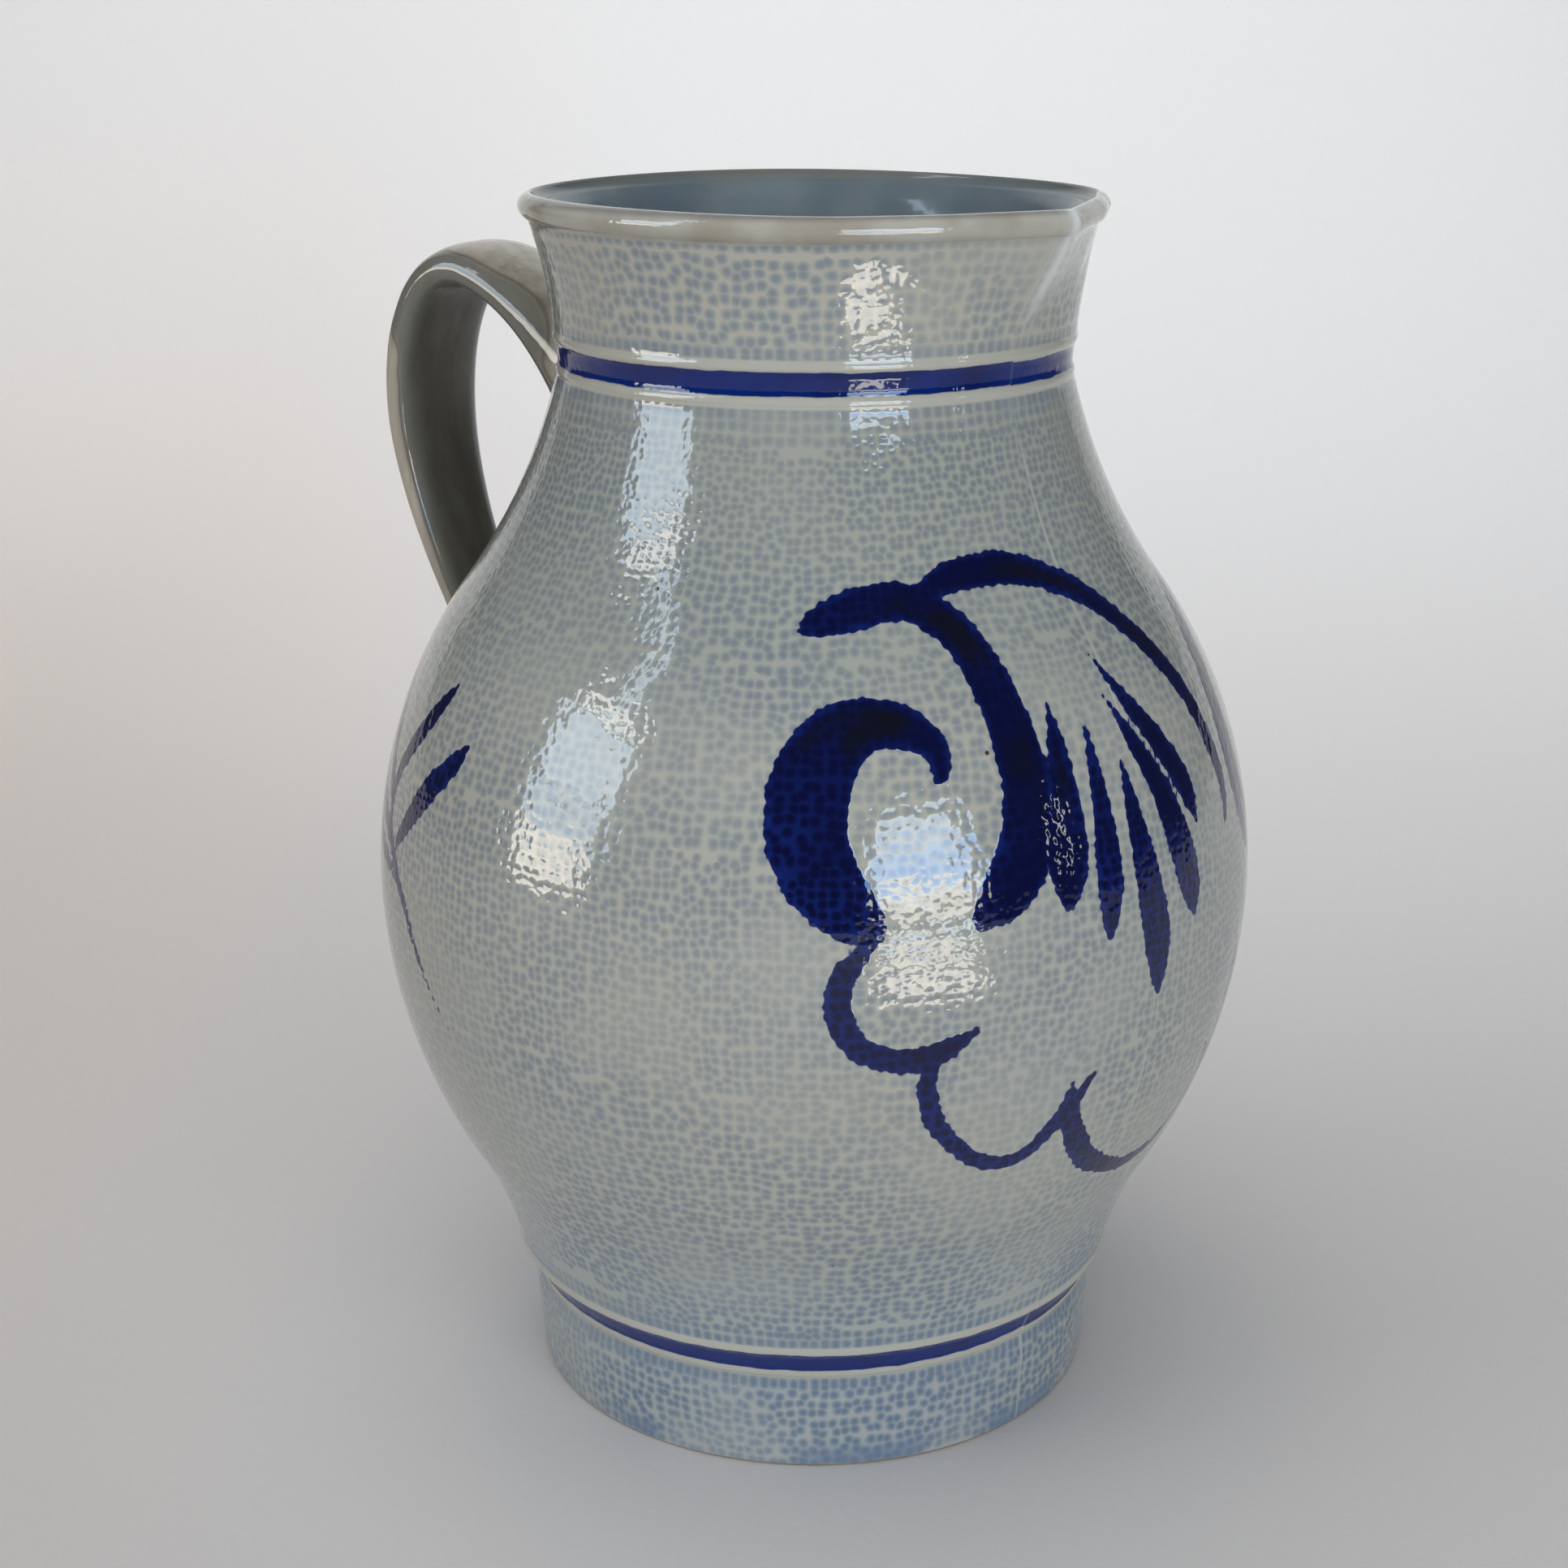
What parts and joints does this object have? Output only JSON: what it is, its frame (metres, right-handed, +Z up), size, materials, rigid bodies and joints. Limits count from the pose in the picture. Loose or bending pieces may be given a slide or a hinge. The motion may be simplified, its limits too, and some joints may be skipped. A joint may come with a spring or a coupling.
{
  "type": "stoneware pouring jug",
  "caption": "Bulbous glazed stoneware jug with turned foot, ridged neck band, pinched pouring spout and a luted strap handle.",
  "frame": {"origin": "centre of the foot ring, on the surface the jug stands on", "axes": "+Z up, +X points along the pouring spout, the handle is at 190 degrees round from +X"},
  "size_m": [0.1708, 0.159, 0.218],
  "materials": {
    "vessel_stoneware": "clear gloss glaze over dotted grey stoneware with cobalt brushwork",
    "handle_stoneware": "clear gloss glaze over plain grey stoneware",
    "joint_clay": "clear gloss glaze over smoothed clay"
  },
  "bodies": {
    "root": {"vessel": "vessel_stoneware", "handle": "handle_stoneware", "upper_joint": "joint_clay", "lower_joint": "joint_clay"}
  },
  "joints": []
}
